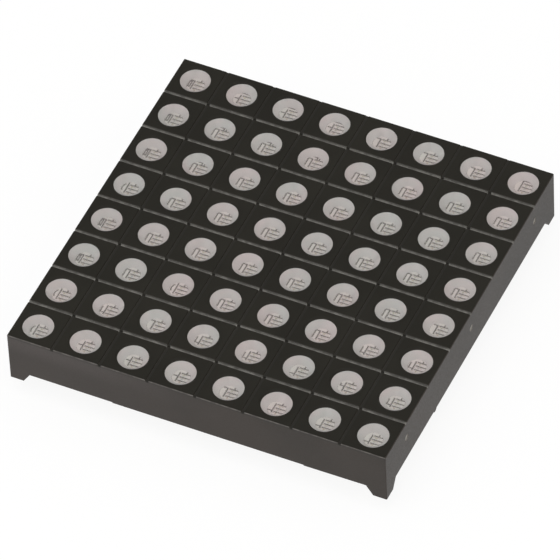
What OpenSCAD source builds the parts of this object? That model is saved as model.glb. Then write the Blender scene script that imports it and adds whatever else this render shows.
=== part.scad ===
// Square LED dot-matrix display module: a moulded housing with a grid of conical cups, each cup lit by
// a red, a green and a blue chip on one circuit board, with two rows of pins out of the back.
// Millimetres. X runs along the dot rows, Y from the front wall to the back wall, Z up to the lit face.
// The origin is under the middle of the module, level with the pin tips.

/* [Dot grid] */
// Distance between dot centres
dot_pitch = 7.62; // [7.4:0.01:8]
// Diameter of the light window of a dot
window_d = 4.62; // [4:0.01:5]
// Diameter of the shallow countersink round a window
mouth_d = 5.3; // [5.1:0.01:5.8]
// Depth of the countersink
mouth_depth = 0.16; // [0.08:0.01:0.4]
// Diameter of a cup at the circuit board
cup_floor_d = 2.8; // [2.6:0.01:3.4]

/* [Housing] */
// Depth from the printed face to the circuit board
board_depth = 1.9; // [1.6:0.05:3]
// Height of the side walls, from the printed face to their lower edge
wall_h = 7.35; // [6.5:0.05:9]
// Thickness of the side walls
wall_t = 1.2; // [0.8:0.05:1.4]
// Space left between two modules that stand edge to edge on the same dot pitch
edge_gap = 0.76; // [0.2:0.01:1.2]
// Radius of the upright outer corners
corner_r = 0.15; // [0.1:0.05:0.8]
// Chamfer along the top outer edges
edge_chamfer = 0.1; // [0.05:0.01:0.3]

/* [Grooves in the face] */
// Width of the grooves between dot columns
column_groove_w = 0.5; // [0.3:0.05:0.8]
// Depth of the grooves between dot columns
column_groove_depth = 0.2; // [0.1:0.05:0.8]
// Width of the grooves between dot rows
row_groove_w = 0.4; // [0.3:0.05:0.8]
// Depth of the grooves between dot rows
row_groove_depth = 0.33; // [0.2:0.01:0.8]

/* [Corner feet] */
// Height of the feet below the walls
foot_h = 1.7; // [1:0.05:3]
// Length of a foot along each wall at its bottom
foot_tip_w = 2.17; // [1.6:0.01:3]
// Length of a foot along each wall where it leaves the wall
foot_root_w = 3.25; // [3:0.01:5]

/* [Mould marks] */
// Diameter of the gate marks on the right wall
gate_d = 1.1; // [0.6:0.1:2]
// Depth of the gate marks
gate_depth = 0.12; // [0.05:0.01:0.3]
// Height of the gate marks' centres below the face
gate_drop = 3.1; // [2:0.1:5]
// How far the little nub hangs below the right wall
nub_drop = 0.35; // [0.1:0.05:0.5]
// Radius of the nub
nub_r = 0.55; // [0.5:0.05:1]
// How far the two steps in the front wall's lower edge hang below the other walls
front_step = 0.14; // [0.05:0.01:0.3]

/* [Circuit board] */
// Thickness of the board
board_t = 1.6; // [1:0.1:2]
// Space between the board's edge and the walls
board_gap = 0.2; // [0.1:0.05:0.5]
// Thickness of the plated copper
plating_t = 0.04; // [0.02:0.01:0.08]
// Space between the plated pads and the foot of the cup
pad_gap = 0.03; // [0.02:0.01:0.1]
// Width of the bare lines between the plated pads
bare_line_w = 0.22; // [0.1:0.01:0.26]
// Distance between the bare lines that part the three chip pads
bare_line_step = 0.725; // [0.6:0.005:0.76]

/* [Chips and wires] */
// Side of a chip
chip_w = 0.28; // [0.2:0.01:0.3]
// Height of a chip
chip_h = 0.12; // [0.08:0.01:0.2]
// Diameter of a bond wire
wire_d = 0.04; // [0.03:0.005:0.06]

/* [Pins] */
// Diameter of a pin
pin_d = 0.5; // [0.4:0.01:0.65]
// Distance between neighbouring pins
pin_pitch = 2.54; // [2.5:0.01:3]
// Distance between the two rows of pins
pin_rows_apart = 45.72; // [40:0.01:50]
// How far the pins reach below the corner feet
pin_reach = 3.4; // [2:0.1:8]
// Chamfer at the pin tips
pin_tip_chamfer = 0.12; // [0.05:0.01:0.15]
// How far the pin heads stay below the board's front
pin_head_gap = 0.1; // [0.05:0.05:0.5]
// Space between a pin and its hole in the board, filled by solder
pin_play = 0.1; // [0.05:0.01:0.2]
// Width of the plated ring round a pin hole
land_w = 0.5; // [0.3:0.05:0.6]
// Height of the solder fillet on a ring
fillet_h = 0.7; // [0.4:0.05:1.2]

/* [Print and resin] */
// Thickness of the black print on the face
print_t = 0.04; // [0.02:0.01:0.1]
// Depth of the walls' lower edge below the resin that fills the back
resin_recess = 1; // [0.5:0.1:2]
// How far the resin climbs each pin
resin_climb = 0.3; // [0.1:0.05:0.6]
// How far round a pin the resin is drawn up
climb_w = 0.4; // [0.2:0.05:0.6]

/* [Hidden] */
dots = 8;
pins = 4 * dots;
pins_in_row = pins / 2;
overshoot = 1;
$fn = 48;

body_w = dots * dot_pitch - edge_gap;
half_w = body_w / 2;
board_w = body_w - 2 * (wall_t + board_gap);

// Levels, from the pin tips up
feet_z = pin_reach;
edge_z = feet_z + foot_h;
resin_z = edge_z + resin_recess;
face_z = edge_z + wall_h;
plate_z = face_z - print_t;
board_z = face_z - board_depth;
board_back_z = board_z - board_t;
pad_z = board_z + plating_t;
chip_z = pad_z + chip_h;
land_z = board_back_z - plating_t;
pin_head_z = board_z - pin_head_gap;
mouth_z = face_z - mouth_depth;
cup_top_z = mouth_z - print_t;

// Radii
window_r = window_d / 2;
mouth_r = mouth_d / 2;
cup_floor_r = cup_floor_d / 2;
hole_r = pin_d / 2 + pin_play;
land_r = hole_r + land_w;
cup_slope = (window_r - cup_floor_r) / (cup_top_z - board_z);
mouth_slope = (mouth_r - window_r) / mouth_depth;

// Bare lines in the plating of a cup, measured from the dot's centre. Three run right from start_x and
// part the chip pads, and a stub stands on the upper one. The lines on the left follow the dot's letter.
start_x = -0.14;
middle_y = 0.055;
upper_y = middle_y + bare_line_step;
lower_y = middle_y - bare_line_step;
bar_y = cup_floor_r - bare_line_w / 2;
bar_x = -0.7;
foot_y = -0.6;
end_y = -0.9;
outer_x = -1.13;
inner_x = -0.48;
between_x = (outer_x + inner_x) / 2;
hook_x = 0.14;
stub_x = 0.52;
stub_top_y = 1.1;
bow_r = 1.15;
trunk = [inner_x, end_y, inner_x, upper_y];

// One letter a dot, back row first: A arch, B bow beside a post, C cross under a bar, E post under a bar,
// F fork, L foot, N arch under a hook, S shoulder, T three legs, U trough, X cross
ROUTES = [
    "TCCCSSSE",
    "TNNNAAAA",
    "TNAAAAAA",
    "BAAAAAAA",
    "TAAAAAAS",
    "TABAAAUU",
    "BUSUULFU",
    "BXXXSLLL"
];

// Chip places on their pads, green, blue and red, and where their wires meet the common pad and their own
chip_x = 0.25;
chip_ys = [middle_y + bare_line_step / 2, middle_y - bare_line_step / 2, lower_y - bare_line_step / 2];
bond_gap = chip_w / 4;
common_bond_x = -0.31;
own_bond_x = 0.8;
wire_sides = 16;

nub_y = -13.1;

// Where each step in the front wall's lower edge is deepest; it runs out at the next, or at the right foot
step_starts = [-13.5, 17];

function pin_name(number) = str("pin_", number < 10 ? "0" : "", number);
function dot_at(i) = (i - (dots - 1) / 2) * dot_pitch;
function groove_at(i) = (i - dots / 2) * dot_pitch;
function cup_r(z) = cup_floor_r + cup_slope * (z - board_z);
function pin_x(i) = (i % pins_in_row - (pins_in_row - 1) / 2) * pin_pitch;
function pin_y(i) = (i < pins_in_row ? -1 : 1) * pin_rows_apart / 2;

module at_dots() {
    for (column = [0:dots - 1], row = [0:dots - 1])
        translate([dot_at(column), dot_at(row), 0])
            children();
}

module at_pins() {
    for (i = [0:pins - 1])
        translate([pin_x(i), pin_y(i), 0])
            children();
}

// Cone between two heights, from radius r1 at z1 to radius r2 at z2
module cone(z1, r1, z2, r2) {
    translate([0, 0, z1])
        cylinder(h = z2 - z1, r1 = r1, r2 = r2);
}

// Square prism w wide between two heights
module slab(w, z1, z2) {
    translate([-w / 2, -w / 2, z1])
        cube([w, w, z2 - z1]);
}

// Countersink of one dot, bottom is the level where it has narrowed to the window
module mouth(bottom) {
    top = bottom + mouth_depth + overshoot;
    cone(bottom, window_r, top, window_r + mouth_slope * (mouth_depth + overshoot));
}

// Outline of one pair of opposite sides: upright walls, a chamfer at the top, and feet at the bottom
module side_profile() {
    top = plate_z - edge_chamfer;
    polygon([
        [-half_w, feet_z],
        [-half_w + foot_tip_w, feet_z],
        [-half_w + foot_root_w, edge_z],
        [half_w - foot_root_w, edge_z],
        [half_w - foot_tip_w, feet_z],
        [half_w, feet_z],
        [half_w, top],
        [half_w - edge_chamfer, plate_z],
        [-half_w + edge_chamfer, plate_z],
        [-half_w, top]
    ]);
}

// Sides seen from the front, run through the whole depth of the module
module side_prism() {
    rotate([90, 0, 0])
        linear_extrude(height = body_w + 2 * overshoot, center = true)
            side_profile();
}

// Square with round corners, made of exact arcs
module round_square(w, r) {
    square([w, w - 2 * r], center = true);
    square([w - 2 * r, w], center = true);
    for (x = [-1, 1], y = [-1, 1])
        translate([x * (w / 2 - r), y * (w / 2 - r)])
            circle(r);
}

module grooves() {
    for (i = [1:dots - 1]) {
        translate([groove_at(i) - column_groove_w / 2, -half_w - overshoot, face_z - column_groove_depth])
            cube([column_groove_w, body_w + 2 * overshoot, column_groove_depth + overshoot]);
        translate([-half_w - overshoot, groove_at(i) - row_groove_w / 2, face_z - row_groove_depth])
            cube([body_w + 2 * overshoot, row_groove_w, row_groove_depth + overshoot]);
    }
}

module gate_marks() {
    for (i = [-1:1])
        translate([half_w - gate_depth, i * 3 * dot_pitch, face_z - gate_drop])
            rotate([0, 90, 0])
                cylinder(h = gate_depth + overshoot, d = gate_d);
}

module nub() {
    translate([half_w - wall_t, nub_y, edge_z + nub_r - nub_drop])
        rotate([0, 90, 0])
            cylinder(h = wall_t, r = nub_r);
}

// Two shallow wedges on the front wall's lower edge, each deepest at its left end
module front_steps() {
    ends = [step_starts[1], half_w - foot_root_w];
    for (k = [0, 1])
        translate([0, wall_t - half_w, edge_z])
            rotate([90, 0, 0])
                linear_extrude(height = wall_t)
                    polygon([[step_starts[k], 0], [step_starts[k], -front_step], [ends[k], 0]]);
}

// The moulding: face plate with cups and grooves, four walls and a foot at each corner
module reflector_housing() {
    color("#4a4744")
        difference() {
            intersection() {
                translate([0, 0, feet_z])
                    linear_extrude(height = plate_z - feet_z)
                        round_square(body_w, corner_r);
                side_prism();
                rotate([0, 0, 90])
                    side_prism();
            }
            slab(body_w - 2 * wall_t, feet_z - overshoot, board_z);
            grooves();
            at_dots() {
                cone(board_z - overshoot, cup_r(board_z - overshoot), cup_top_z, window_r);
                mouth(cup_top_z);
            }
            gate_marks();
        }
    color("#4a4744") {
        nub();
        front_steps();
    }
}

// Black print on the cell tops, which runs down each countersink
module face_print() {
    edge = half_w - edge_chamfer;
    color("#2c2a26")
        for (i = [0:dots - 1], j = [0:dots - 1]) {
            x1 = i == 0 ? -edge : groove_at(i) + column_groove_w / 2;
            x2 = i == dots - 1 ? edge : groove_at(i + 1) - column_groove_w / 2;
            y1 = j == 0 ? -edge : groove_at(j) + row_groove_w / 2;
            y2 = j == dots - 1 ? edge : groove_at(j + 1) - row_groove_w / 2;
            difference() {
                union() {
                    translate([x1, y1, plate_z])
                        cube([x2 - x1, y2 - y1, print_t]);
                    translate([dot_at(i), dot_at(j), 0])
                        cone(cup_top_z, window_r, plate_z, mouth_r);
                }
                translate([dot_at(i), dot_at(j), 0]) {
                    mouth(mouth_z);
                    cone(cup_top_z - overshoot, window_r, mouth_z, window_r);
                }
            }
        }
}

module circuit_board() {
    color("#8a7a4e")
        difference() {
            slab(board_w, board_back_z, board_z);
            at_pins()
                cone(board_back_z - overshoot, hole_r, board_z + overshoot, hole_r);
        }
}

// One straight bare line between two points, along X or Y
module bare_line(x1, y1, x2, y2) {
    translate([min(x1, x2) - bare_line_w / 2, min(y1, y2) - bare_line_w / 2])
        square([abs(x2 - x1) + bare_line_w, abs(y2 - y1) + bare_line_w]);
}

// Lines on the left of a cup as [x1, y1, x2, y2], by the letter in ROUTES
function left_lines(letter) =
    letter == "A" ? concat(left_lines("S"), [[outer_x, foot_y, outer_x, upper_y]])
    : letter == "B" ? [[inner_x, end_y, inner_x, stub_top_y]]
    : letter == "C" ? concat(left_lines("X"), [[bar_x, bar_y, stub_x, bar_y]])
    : letter == "E" ? [trunk, [inner_x, upper_y, inner_x, bar_y], [bar_x, bar_y, stub_x, bar_y]]
    : letter == "F" ? concat(left_lines("X"), [[outer_x, middle_y, outer_x, upper_y / 2]])
    : letter == "L" ? [trunk, [outer_x, foot_y, inner_x, foot_y]]
    : letter == "N" ? concat(left_lines("A"), [[inner_x, bar_y, hook_x, bar_y], [hook_x, upper_y, hook_x, bar_y]])
    : letter == "S" ? [trunk, [outer_x, upper_y, inner_x, upper_y]]
    : letter == "T" ? concat(left_lines("A"), [[between_x, foot_y, between_x, upper_y]])
    : letter == "U" ? concat(left_lines("L"), [[outer_x, foot_y, outer_x, upper_y / 2]])
    : [trunk, [outer_x, middle_y, inner_x, middle_y]];

// Bent bare line along the left edge of a cup's floor
module bow() {
    intersection() {
        difference() {
            circle(bow_r + bare_line_w / 2);
            circle(bow_r - bare_line_w / 2);
        }
        translate([-cup_floor_d, foot_y])
            square([cup_floor_d + inner_x - bare_line_w, upper_y - foot_y]);
    }
}

module bare_lines(letter) {
    for (y = [upper_y, middle_y, lower_y])
        bare_line(start_x, y, cup_floor_r, y);
    if (letter != "C" && letter != "E")
        bare_line(stub_x, upper_y, stub_x, stub_top_y);
    for (line = left_lines(letter))
        bare_line(line[0], line[1], line[2], line[3]);
    if (letter == "B" || letter == "T")
        bow();
}

// Plated copper on the floor of every cup
module plated_pads() {
    color("#b9b3ac")
        for (i = [0:dots - 1], j = [0:dots - 1])
            translate([dot_at(i), dot_at(j), board_z])
                linear_extrude(height = plating_t)
                    difference() {
                        circle(cup_floor_r - pad_gap);
                        bare_lines(ROUTES[dots - 1 - j][i]);
                    }
}

// Plated rings round the pin holes, on the board's back
module pin_lands() {
    color("#c9c4b8")
        at_pins()
            difference() {
                cone(land_z, land_r, board_back_z, land_r);
                cone(land_z - overshoot, hole_r, board_back_z + overshoot, hole_r);
            }
}

// Chip on its pad, k counts along chip_ys
module chip(k) {
    translate([chip_x - chip_w / 2, chip_ys[k] - chip_w / 2, pad_z])
        cube([chip_w, chip_w, chip_h]);
}

// Wire in a half circle from the top of chip k at from_x, down to the pad at to_x
module bond_wire(k, from_x, to_x) {
    $fn = wire_sides;
    translate([(from_x + to_x) / 2, chip_ys[k], chip_z])
        rotate([90, 0, 0])
            rotate_extrude(angle = 180)
                translate([abs(to_x - from_x) / 2, 0])
                    circle(d = wire_d);
    translate([to_x, chip_ys[k], 0])
        cone(pad_z, wire_d / 2, chip_z, wire_d / 2);
}

module common_wire(k) {
    bond_wire(k, chip_x - bond_gap, common_bond_x);
}

module own_wire(k) {
    bond_wire(k, chip_x + bond_gap, own_bond_x);
}

module green_chips() {
    color("#9fb39a")
        at_dots() chip(0);
}

module blue_chips() {
    color("#9aa6b8")
        at_dots() chip(1);
}

module red_chips() {
    color("#a08478")
        at_dots() chip(2);
}

module green_bond_wires() {
    color("#c8a850")
        at_dots() {
            common_wire(0);
            own_wire(0);
        }
}

module blue_bond_wires() {
    color("#c8a850")
        at_dots() {
            common_wire(1);
            own_wire(1);
        }
}

module red_bond_wires() {
    color("#c8a850")
        at_dots() common_wire(2);
}

// Clear resin that fills one row of cups over the chips and wires, row 1 at the front
module epoxy_row(row) {
    color("#b7b2ad")
        for (i = [0:dots - 1])
            translate([dot_at(i), dot_at(row - 1), 0])
                difference() {
                    union() {
                        cone(pad_z, cup_r(pad_z), cup_top_z, window_r);
                        cone(cup_top_z, window_r, mouth_z, window_r);
                    }
                    for (k = [0:2]) {
                        chip(k);
                        common_wire(k);
                    }
                    own_wire(0);
                    own_wire(1);
                }
}

// Solder of one pin: a sleeve in the hole, and a fillet on the ring that meets the pin
module solder(inner_r) {
    rotate_extrude()
        polygon([
            [inner_r, pin_head_z],
            [hole_r, pin_head_z],
            [hole_r, land_z],
            [land_r - land_w / 4, land_z],
            [pin_d / 2 + pin_play / 2, land_z - fillet_h],
            [inner_r, land_z - fillet_h]
        ]);
}

module pin_solder() {
    color("#b8b8b4")
        at_pins() solder(pin_d / 2);
}

module one_pin() {
    color("#c4c2bc") {
        cone(0, pin_d / 2 - pin_tip_chamfer, pin_tip_chamfer, pin_d / 2);
        cone(pin_tip_chamfer, pin_d / 2, pin_head_z, pin_d / 2);
    }
}

// Resin poured over the back of the board, drawn up a little round each pin
module back_resin() {
    tip_w = climb_w / 10;
    color("#6d6a4a")
        difference() {
            union() {
                slab(body_w - 2 * wall_t, resin_z, board_back_z);
                at_pins()
                    cone(resin_z - resin_climb, pin_d / 2 + tip_w, resin_z, pin_d / 2 + climb_w);
            }
            at_pins() {
                cone(resin_z - overshoot, pin_d / 2, board_back_z + overshoot, pin_d / 2);
                cone(land_z, land_r, board_back_z + overshoot, land_r);
                solder(0);
            }
        }
}

reflector_housing();
face_print();
circuit_board();
plated_pads();
pin_lands();
red_chips();
green_chips();
blue_chips();
red_bond_wires();
green_bond_wires();
blue_bond_wires();
for (row = [1:dots])
    epoxy_row(row);
back_resin();
pin_solder();
for (i = [0:pins - 1])
    translate([pin_x(i), pin_y(i), 0])
            one_pin();
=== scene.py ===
"""Looks of a square LED dot-matrix module: painted housing, printed face, and cups filled with clear
resin over a pad layout, three chips and their wires. Everything is in metres, in the part's own frame."""

import math

import bpy
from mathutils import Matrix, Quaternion, Vector


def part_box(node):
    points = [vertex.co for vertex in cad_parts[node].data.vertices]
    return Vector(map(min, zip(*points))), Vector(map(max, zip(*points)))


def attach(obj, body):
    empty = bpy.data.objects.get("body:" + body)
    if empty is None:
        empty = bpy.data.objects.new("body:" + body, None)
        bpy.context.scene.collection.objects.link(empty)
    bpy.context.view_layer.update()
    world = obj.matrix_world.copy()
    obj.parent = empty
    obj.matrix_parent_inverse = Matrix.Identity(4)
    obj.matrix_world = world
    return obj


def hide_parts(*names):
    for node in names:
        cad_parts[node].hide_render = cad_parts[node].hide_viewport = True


MM = 0.001
DOTS = 8
FLOOR_GLOW = 0.86


# ---------------------------------------------------------------- sizes, from the frame


def sizes_from_frame():
    """The module's driving sizes, read off the boxes of its CAD nodes."""
    row_low, row_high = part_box("epoxy_row_1")
    pads_low, pads_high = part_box("plated_pads")
    window_d = row_high.y - row_low.y
    pitch = (row_high.x - row_low.x - window_d) / (DOTS - 1)
    print_low, print_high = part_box("face_print")
    housing_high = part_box("reflector_housing")[1]
    return {
        "pitch": pitch,
        "window_r": window_d / 2,
        "pad_r": (pads_high.x - pads_low.x - (DOTS - 1) * pitch) / 2,
        "face_z": print_high.z,
        "plate_z": housing_high.z,
        "cup_top_z": print_low.z,
        "mouth_z": row_high.z,
        "board_z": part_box("circuit_board")[1].z,
        "half_w": housing_high.x,
    }


def dot_at(i, pitch):
    """Place of dot i, counted from 0, along a row or a column."""
    return (i - (DOTS - 1) / 2) * pitch


# ---------------------------------------------------------------- node helpers


class Paint:
    """A material's node tree with short calls for the nodes that this script uses."""

    def __init__(self, name):
        self.material = bpy.data.materials.new(name)
        self.material.use_nodes = True
        self.tree = self.material.node_tree
        self.tree.nodes.clear()
        self.output = self.tree.nodes.new("ShaderNodeOutputMaterial")
        self.spot = self.tree.nodes.new("ShaderNodeTexCoord").outputs["Object"]

    def put(self, value, socket):
        """Links a socket, or sets a plain number or colour."""
        if isinstance(value, bpy.types.NodeSocket):
            self.tree.links.new(value, socket)
        elif hasattr(value, "__len__") and len(value) == 3 and socket.type == "RGBA":
            socket.default_value = (*value, 1)
        else:
            socket.default_value = value

    def node(self, kind, values=(), **settings):
        made = self.tree.nodes.new(kind)
        for name, value in settings.items():
            setattr(made, name, value)
        for name, value in dict(values).items():
            self.put(value, made.inputs[name])
        return made

    def math(self, operation, a, b=0.0):
        made = self.node("ShaderNodeMath", operation=operation)
        self.put(a, made.inputs[0])
        self.put(b, made.inputs[1])
        return made.outputs[0]

    def below(self, value, limit):
        return self.math("LESS_THAN", value, limit)

    def above(self, value, limit):
        return self.math("GREATER_THAN", value, limit)

    def every(self, first, *others):
        """Share where all of these hold."""
        for other in others:
            first = self.math("MULTIPLY", first, other)
        return first

    def either(self, a, b):
        """Share where one of two holds."""
        return self.math("MAXIMUM", a, b)

    def other_than(self, share):
        return self.math("SUBTRACT", 1.0, share)

    def split(self, vector):
        return self.node("ShaderNodeSeparateXYZ", {"Vector": vector}).outputs

    def ramp(self, value, low, high, to_low=0.0, to_high=1.0):
        """value from low to high, smoothed and kept in to_low to to_high."""
        made = self.node(
            "ShaderNodeMapRange",
            {"Value": value, "From Min": low, "From Max": high, "To Min": to_low, "To Max": to_high},
            interpolation_type="SMOOTHSTEP",
        )
        return made.outputs[0]

    def noise(self, per_m, detail=3.0, where=None):
        """Noise from 0 to 1 with about per_m blobs to the metre."""
        values = {"Vector": where or self.spot, "Scale": per_m, "Detail": detail, "Roughness": 0.5}
        return self.node("ShaderNodeTexNoise", values).outputs["Fac"]

    def mix(self, share, a, b):
        """a where share is 0 and b where it is 1, of two colours."""
        made = self.node("ShaderNodeMix", data_type="RGBA")
        self.put(share, made.inputs[0])
        self.put(a, made.inputs[6])
        self.put(b, made.inputs[7])
        return made.outputs[2]

    def blend(self, share, a, b):
        """The same, of two numbers."""
        made = self.node("ShaderNodeMix", data_type="FLOAT")
        self.put(share, made.inputs[0])
        self.put(a, made.inputs[2])
        self.put(b, made.inputs[3])
        return made.outputs[0]

    def drift(self, per_m, detail, a, b):
        """Colour that drifts between a and b in soft blobs."""
        return self.mix(self.ramp(self.noise(per_m, detail), 0.35, 0.65), a, b)

    def bump(self, height, distance, strength, under=None):
        made = self.node("ShaderNodeBump", {"Height": height, "Strength": strength, "Distance": distance})
        if under is not None:
            self.put(under, made.inputs["Normal"])
        return made.outputs[0]

    def finish(self, shader):
        """Puts the shader on the output and gives the material."""
        self.put(shader, self.output.inputs["Surface"])
        return self.material

    def principled(self, **values):
        """Output of a Principled shader; names have _ for a space."""
        values = {name.replace("_", " "): value for name, value in values.items()}
        return self.node("ShaderNodeBsdfPrincipled", values).outputs[0]

    def two_shaders(self, share, a, b):
        made = self.node("ShaderNodeMixShader", {"Fac": share})
        self.put(a, made.inputs[1])
        self.put(b, made.inputs[2])
        return made.outputs[0]

    def from_dot(self, pitch):
        """Distance from the nearest dot's centre."""
        parts = self.split(self.spot)
        squares = []
        for axis in "XY":
            cell = self.math("FRACT", self.math("DIVIDE", parts[axis], pitch))
            off = self.math("MULTIPLY", self.math("SUBTRACT", cell, 0.5), pitch)
            squares.append(self.math("MULTIPLY", off, off))
        return self.math("SQRT", self.math("ADD", squares[0], squares[1]))

    def past_groove(self, axis, pitch):
        """Distance past the nearest groove line that crosses the axis, negative before the line."""
        cells = self.math("DIVIDE", self.split(self.spot)[axis], pitch)
        cell = self.math("FRACT", self.math("ADD", cells, 0.5))
        return self.math("MULTIPLY", self.math("SUBTRACT", cell, 0.5), pitch)

    def from_groove(self, axis, pitch):
        """Distance from the nearest groove line that crosses the axis."""
        return self.math("ABSOLUTE", self.past_groove(axis, pitch))


def srgb(red, green, blue):
    """Linear colour of an 8-bit sRGB one."""
    shares = (value / 255 for value in (red, green, blue))
    return tuple(c / 12.92 if c <= 0.04045 else ((c + 0.055) / 1.055) ** 2.4 for c in shares)


# ---------------------------------------------------------------- materials


def housing_material(size):
    """Dark satin paint outside, and pale bare moulding in the cups and where paint is missing. Painted light
    as well: a highlight along the top chamfers, partly bare where the paint has gone, a highlight high on
    the front and back walls towards the left end, and lightening on the shaded side of each column groove.
    """
    p = Paint("housing_plastic")
    x, y, z = p.split(p.spot)
    from_row, from_column = p.from_groove("Y", size["pitch"]), p.from_groove("X", size["pitch"])
    across, along = p.math("ABSOLUTE", x), p.math("ABSOLUTE", y)
    half_w, top = size["half_w"], size["plate_z"]

    # how far each zone reaches: skin stands for a face itself
    skin = 0.02 * MM
    groove_floor = 0.36 * MM
    column_reach, row_reach = 0.26 * MM, 0.21 * MM
    chamfer_reach = 0.11 * MM
    under_edge_ends, under_edge_full = 0.52 * MM, 0.3 * MM
    # reach of the painted highlight high on the front and back walls
    highlight_ends, highlight_full = 4.0 * MM, 1.2 * MM
    gate_depth, gate_low, gate_high = 0.14 * MM, 3.8 * MM, 2.4 * MM

    in_cup = p.every(
        p.below(p.from_dot(size["pitch"]), size["window_r"] + skin),
        p.below(z, size["cup_top_z"] + 0.005 * MM),
        p.above(z, size["board_z"] - 0.01 * MM),
    )
    on_face = p.every(p.above(z, top - groove_floor), p.below(across, half_w - skin))
    at_column = p.below(from_column, column_reach)
    between_columns = p.other_than(at_column)
    inked = p.every(on_face, at_column)
    bare = p.every(on_face, p.below(from_row, row_reach), between_columns)
    end_wall = p.above(along, half_w - chamfer_reach)
    # painted highlight along the top chamfer of the front and back walls, in part bare moulding where the
    # paint has gone
    chamfer_highlight_and_wear = p.every(end_wall, p.above(z, top - 0.105 * MM), between_columns)
    # a darker band, mixed part way towards the ink, just under the top edge of the front and back walls
    under_edge_darkening = p.every(p.above(along, half_w - skin), p.ramp(z, top - under_edge_ends, top - under_edge_full))
    # painted highlight: the front and back walls lighter high up, and more so towards the left end
    highlight_height = p.ramp(z, top - highlight_ends, top - highlight_full, 0.4, 1.0)
    wear_and_highlight = p.every(end_wall, highlight_height, p.ramp(x, 9 * MM, -26 * MM, 0.0, 0.95))
    in_gate = p.every(p.below(x, half_w - 0.01 * MM), p.above(x, half_w - gate_depth))
    gate_height = p.every(p.below(z, top - gate_high), p.above(z, top - gate_low))
    gate = p.every(in_gate, p.below(along, half_w - 1.0 * MM), gate_height)

    clouds = p.noise(90.0, 4.0)
    grain = p.noise(5200.0, 2.0)
    patches = p.ramp(p.noise(900.0, 3.0), 0.35, 0.65)
    ink = ink_colour(p)
    # painted fill light: the ink lighter on the shaded left side of each column groove
    painted_fill_light = p.ramp(p.past_groove("X", size["pitch"]), -0.05 * MM, -0.25 * MM, 0.0, 0.35)
    dark = p.mix(p.ramp(clouds, 0.3, 0.7), srgb(46, 40, 34), srgb(54, 47, 41))
    # painted highlight high on the front and back walls
    dark = p.mix(wear_and_highlight, dark, srgb(72, 66, 63))
    dark = p.mix(p.ramp(grain, 0.62, 0.8), dark, srgb(68, 61, 55))
    # the darker band under the top edge
    dark = p.mix(p.math("MULTIPLY", under_edge_darkening, 0.45), dark, ink)
    pale = p.drift(260.0, 2.0, srgb(200, 199, 197), srgb(205, 199, 198))
    colour = p.mix(in_cup, dark, pale)
    # column grooves in ink, with the painted fill light on their shaded side
    colour = p.mix(inked, colour, p.mix(painted_fill_light, ink, srgb(74, 70, 62)))
    # the painted chamfer highlight, in part paint wear
    colour = p.mix(chamfer_highlight_and_wear, colour, p.mix(patches, srgb(72, 68, 65), srgb(100, 96, 92)))
    colour = p.mix(gate, colour, srgb(150, 146, 140))
    colour = p.mix(bare, colour, p.mix(patches, srgb(114, 112, 108), srgb(143, 141, 136)))
    rough = p.blend(inked, p.ramp(grain, 0.2, 0.8, 0.42, 0.56), 0.66)
    bump = p.bump(grain, 0.004 * MM, 0.5, p.bump(clouds, 0.12 * MM, 0.25))
    return p.finish(p.principled(Base_Color=colour, Roughness=rough, Specular_IOR_Level=0.35, Normal=bump))


def ink_colour(p):
    """Warm black ink with slow clouds and fine dust."""
    tone = p.mix(p.ramp(p.noise(120.0, 4.0), 0.3, 0.7), srgb(30, 28, 22), srgb(36, 34, 28))
    return p.mix(p.ramp(p.noise(9000.0, 3.0), 0.66, 0.8), tone, srgb(60, 56, 48))


def print_material(pitch):
    """Matt black ink with a fine grain and a little dust, and a painted highlight along the far side of the
    row grooves.
    """
    p = Paint("face_ink")
    past = p.past_groove("Y", pitch)
    # painted highlight: the ink lighter just past the far edge of each row groove, next to its lit wall
    far_edge_highlight = p.every(p.above(past, 0.0), p.ramp(past, 0.4 * MM, 0.22 * MM, 0.0, 0.35))
    shader = p.principled(
        Base_Color=p.mix(far_edge_highlight, ink_colour(p), srgb(92, 89, 84)),
        Roughness=p.ramp(p.noise(120.0, 4.0), 0.2, 0.8, 0.6, 0.72),
        Specular_IOR_Level=0.2,
        Normal=p.bump(p.noise(9000.0, 3.0), 0.006 * MM, 0.6),
    )
    return p.finish(shader)


def board_material():
    """Glass-fibre board: brownish, with the weave faintly showing."""
    p = Paint("board_laminate")
    threads_per_m = 9000.0
    waves = [p.math("SINE", p.math("MULTIPLY", place, threads_per_m)) for place in p.split(p.spot)[:2]]
    weave = p.math("MULTIPLY", *waves)
    tone = p.mix(p.ramp(weave, -0.6, 0.6), srgb(44, 28, 14), srgb(54, 36, 20))
    tone = p.mix(p.ramp(p.noise(150.0), 0.3, 0.7), tone, srgb(50, 32, 20))
    return p.finish(p.principled(Base_Color=tone, Roughness=0.55, Normal=p.bump(weave, 0.01 * MM, 0.4)))


def plating_material(name):
    """Matt plated copper, pale with a warm cast that drifts from dot to dot."""
    p = Paint(name)
    grain = p.noise(12000.0, 2.0)
    shader = p.principled(
        Base_Color=p.drift(140.0, 2.0, srgb(196, 192, 186), srgb(202, 194, 190)),
        Metallic=0.15,
        Roughness=p.ramp(grain, 0.2, 0.8, 0.45, 0.6),
        Normal=p.bump(grain, 0.004 * MM, 0.5),
    )
    return p.finish(shader)


def chip_material(name, body, pad):
    """A bare chip's smooth surface, mottled with the paler tone of its metal pads."""
    p = Paint(name)
    tone = p.mix(p.ramp(p.noise(9000.0, 1.0), 0.45, 0.6), body, pad)
    return p.finish(p.principled(Base_Color=tone, Roughness=0.3, Coat_Weight=0.3))


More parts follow.
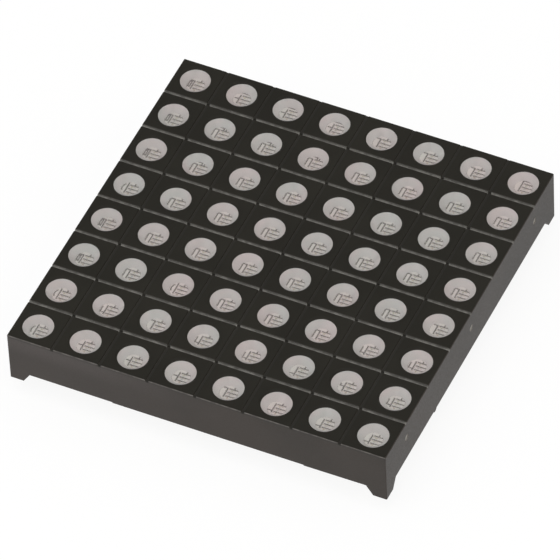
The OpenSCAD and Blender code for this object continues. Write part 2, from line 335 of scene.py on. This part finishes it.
def metal_material(name, base, wear_and_highlight, rough):
    """Drawn metal with fine marks along its length."""
    p = Paint(name)
    streaks = p.node("ShaderNodeMapping", {"Vector": p.spot, "Scale": (1.0, 1.0, 0.08)})
    marks = p.noise(7000.0, 3.0, streaks.outputs[0])
    shader = p.principled(
        Base_Color=p.mix(p.ramp(p.noise(600.0, 2.0), 0.35, 0.7), base, wear_and_highlight),
        Metallic=1.0,
        Roughness=p.ramp(marks, 0.2, 0.8, rough * 0.8, rough * 1.3),
        Normal=p.bump(marks, 0.003 * MM, 0.5),
    )
    return p.finish(shader)


def back_resin_material():
    """Cast resin, milky and glossy, with slow ripples from curing."""
    p = Paint("back_resin")
    clouds = p.noise(70.0, 5.0)
    shader = p.principled(
        Base_Color=p.mix(p.ramp(clouds, 0.3, 0.7), srgb(176, 166, 140), srgb(190, 180, 154)),
        Roughness=p.ramp(clouds, 0.3, 0.7, 0.12, 0.2),
        Normal=p.bump(p.noise(160.0, 2.0), 0.15 * MM, 0.3),
    )
    return p.finish(shader)


def lens_material():
    """Slightly milky resin in the cups. Lamps reach what lies under it, so the cup floor isn't dark."""
    p = Paint("clear_resin")
    milky = p.principled(
        Base_Color=p.drift(140.0, 2.0, srgb(224, 225, 224), srgb(229, 223, 223)),
        Roughness=p.ramp(p.noise(700.0, 3.0), 0.3, 0.7, 0.22, 0.27),
        IOR=1.5,
        Transmission_Weight=0.85,
    )
    clear = p.node("ShaderNodeBsdfTransparent", {"Color": (0.97, 0.96, 0.95)})
    to_lamp = p.node("ShaderNodeLightPath").outputs["Is Shadow Ray"]
    return p.finish(p.two_shaders(to_lamp, milky, clear.outputs[0]))


def floor_material():
    """White floor that keeps the soft shadow and looks white to the camera and in reflections."""
    p = Paint("studio_floor")
    path = p.node("ShaderNodeLightPath").outputs
    seen = p.either(path["Is Camera Ray"], p.either(path["Is Glossy Ray"], path["Is Transmission Ray"]))
    matt = p.node("ShaderNodeBsdfDiffuse", {"Color": (0.8, 0.8, 0.8)})
    glow = p.node("ShaderNodeEmission", {"Color": (1, 1, 1), "Strength": 1.04})
    return p.finish(p.two_shaders(p.math("MULTIPLY", seen, FLOOR_GLOW), matt.outputs[0], glow.outputs[0]))


# ---------------------------------------------------------------- pieces


def lens_profile(size):
    """(radius, height) of one resin lens from its foot to the middle of its top, which the edge draws up."""
    sink = 0.02 * MM
    top = size["mouth_z"] - 0.004 * MM
    dish = 0.09 * MM
    foot_r = size["pad_r"] + 0.03 * MM
    slope = (size["window_r"] - foot_r) / (size["cup_top_z"] - size["board_z"])
    points = [
        (foot_r - slope * sink + sink, size["board_z"] - sink),
        (size["window_r"] + sink, size["cup_top_z"]),
        (size["window_r"] + sink, top),
    ]
    for share in (0.985, 0.965, 0.94, 0.91, 0.87, 0.81, 0.72, 0.58, 0.4, 0.2):
        points.append((size["window_r"] * share, top - dish * (1 - share**12)))
    return points


def revolve(points, centre, corners, faces, turns=64):
    """Adds a closed solid of revolution about the vertical through centre, from its profile."""
    start = len(corners)
    for radius, height in points:
        for k in range(turns):
            a = math.tau * k / turns
            corners.append((centre[0] + radius * math.cos(a), centre[1] + radius * math.sin(a), height))
    for ring in range(len(points) - 1):
        for k in range(turns):
            a, b = start + ring * turns + k, start + ring * turns + (k + 1) % turns
            faces.append((a, b, b + turns, a + turns))
    bottom = len(corners)
    corners.append((centre[0], centre[1], points[0][1]))
    corners.append((centre[0], centre[1], points[-1][1]))
    last = start + (len(points) - 1) * turns
    for k in range(turns):
        step = (k + 1) % turns
        faces.append((bottom, start + step, start + k))
        faces.append((last + k, last + step, bottom + 1))


def make_piece(name, corners, faces, material):
    mesh = bpy.data.meshes.new(name)
    mesh.from_pydata(corners, [], faces)
    mesh.materials.append(material)
    mesh.update()
    piece = bpy.data.objects.new(name, mesh)
    bpy.context.scene.collection.objects.link(piece)
    for face in mesh.polygons:
        face.use_smooth = True
    mesh.set_sharp_from_angle(angle=math.radians(35))
    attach(piece, "root")
    return piece


def resin_lenses(size):
    """One piece for each row of eight lenses, row 1 at the front."""
    material = lens_material()
    profile = lens_profile(size)
    for row in range(1, DOTS + 1):
        corners, faces = [], []
        for i in range(DOTS):
            centre = (dot_at(i, size["pitch"]), dot_at(row - 1, size["pitch"]))
            revolve(profile, centre, corners, faces)
        piece = make_piece(f"clear_lens_row_{row}", corners, faces, material)
        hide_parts(f"epoxy_row_{row}")


def dress_frame(nodes, size):
    """Gives each CAD node that shows its own material."""
    gold = metal_material("bond_wire_gold", srgb(164, 134, 86), srgb(146, 116, 72), 0.3)
    tin = metal_material("pin_tin", srgb(208, 206, 200), srgb(184, 182, 176), 0.3)
    looks = {
        "reflector_housing": housing_material(size),
        "face_print": print_material(size["pitch"]),
        "circuit_board": board_material(),
        "plated_pads": plating_material("pad_plating"),
        "pin_lands": plating_material("land_plating"),
        "red_chips": chip_material("red_chip", srgb(150, 128, 112), srgb(190, 176, 156)),
        "green_chips": chip_material("green_chip", srgb(150, 156, 142), srgb(194, 186, 160)),
        "blue_chips": chip_material("blue_chip", srgb(146, 150, 156), srgb(194, 186, 164)),
        "red_bond_wires": gold,
        "green_bond_wires": gold,
        "blue_bond_wires": gold,
        "back_resin": back_resin_material(),
        "pin_solder": metal_material("solder", srgb(196, 196, 192), srgb(168, 168, 164), 0.2),
    }
    for name, node in nodes.items():
        material = tin if name.startswith("pin_") and name[4:].isdigit() else looks.get(name)
        if material:
            node.data.materials.clear()
            node.data.materials.append(material)


# ---------------------------------------------------------------- studio


def studio_floor():
    half = 6.0
    mesh = bpy.data.meshes.new("floor")
    corners = [(-half, -half, 0), (half, -half, 0), (half, half, 0), (-half, half, 0)]
    mesh.from_pydata(corners, [], [(0, 1, 2, 3)])
    mesh.materials.append(floor_material())
    floor = bpy.data.objects.new("floor", mesh)
    bpy.context.scene.collection.objects.link(floor)


def studio_world():
    """White to the camera and through the resin, and a softer light on the object."""
    world = bpy.data.worlds.new("studio")
    bpy.context.scene.world = world
    world.use_nodes = True
    tree = world.node_tree
    tree.nodes.clear()
    path = tree.nodes.new("ShaderNodeLightPath")
    seen = tree.nodes.new("ShaderNodeMath")
    seen.operation = "MAXIMUM"
    tree.links.new(path.outputs["Is Camera Ray"], seen.inputs[0])
    tree.links.new(path.outputs["Is Transmission Ray"], seen.inputs[1])
    strength = tree.nodes.new("ShaderNodeMapRange")
    tree.links.new(seen.outputs[0], strength.inputs["Value"])
    strength.inputs["To Min"].default_value = 0.5
    strength.inputs["To Max"].default_value = 1.0
    light = tree.nodes.new("ShaderNodeBackground")
    light.inputs["Color"].default_value = (1, 1, 1, 1)
    tree.links.new(strength.outputs[0], light.inputs["Strength"])
    output = tree.nodes.new("ShaderNodeOutputWorld")
    tree.links.new(light.outputs[0], output.inputs["Surface"])


def direction(azimuth, elevation):
    """Unit vector at this azimuth (0 in front, 90 to the right) and elevation, in degrees."""
    a, e = math.radians(azimuth), math.radians(elevation)
    return Vector((math.sin(a) * math.cos(e), -math.cos(a) * math.cos(e), math.sin(e)))


def area_lamp(name, azimuth, elevation, distance, watts, aim, colour=(1, 1, 1)):
    """Square soft lamp that stands at this azimuth and elevation from the aim point and faces it."""
    away = direction(azimuth, elevation)
    lamp = bpy.data.lights.new(name, "AREA")
    lamp.shape = "SQUARE"
    lamp.size = 0.9
    lamp.energy = watts
    lamp.color = colour
    holder = bpy.data.objects.new(name, lamp)
    holder.location = aim + away * distance
    holder.rotation_mode = "QUATERNION"
    holder.rotation_quaternion = (-away).to_track_quat("-Z", "Y")
    bpy.context.scene.collection.objects.link(holder)


def studio_camera(size):
    """The photograph's view: a long lens high at the front right, turned slightly on its axis."""
    back = direction(27.133, 47.805)
    roll = Quaternion((0, 0, 1), math.radians(-3.053))
    aim = Vector((1.857 * MM, -4.851 * MM, size["face_z"]))
    camera = bpy.data.cameras.new("camera")
    camera.lens = 501.74
    camera.sensor_width = 36.0
    holder = bpy.data.objects.new("camera", camera)
    holder.location = aim + back * 1.1353
    holder.rotation_mode = "QUATERNION"
    holder.rotation_quaternion = (-back).to_track_quat("-Z", "Y") @ roll
    bpy.context.scene.collection.objects.link(holder)
    bpy.context.scene.camera = holder


def studio(size):
    studio_floor()
    studio_world()
    studio_camera(size)
    aim = Vector((0, 0, size["face_z"]))
    area_lamp("key", 5, 68, 1.2, 6.6, aim)
    area_lamp("front", -20, 35, 1.3, 1.8, aim)
    area_lamp("side", 95, 40, 1.3, 1.8, aim, (1.0, 0.9, 0.75))
    bpy.context.scene.view_settings.view_transform = "Standard"


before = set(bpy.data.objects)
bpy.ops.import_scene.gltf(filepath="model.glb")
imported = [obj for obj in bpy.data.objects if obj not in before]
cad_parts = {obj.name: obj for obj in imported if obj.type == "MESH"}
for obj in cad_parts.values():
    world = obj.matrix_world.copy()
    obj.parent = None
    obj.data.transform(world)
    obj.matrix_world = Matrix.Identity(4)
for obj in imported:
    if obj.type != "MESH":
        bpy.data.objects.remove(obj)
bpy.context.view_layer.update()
size = sizes_from_frame()
dress_frame(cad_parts, size)
resin_lenses(size)
studio(size)
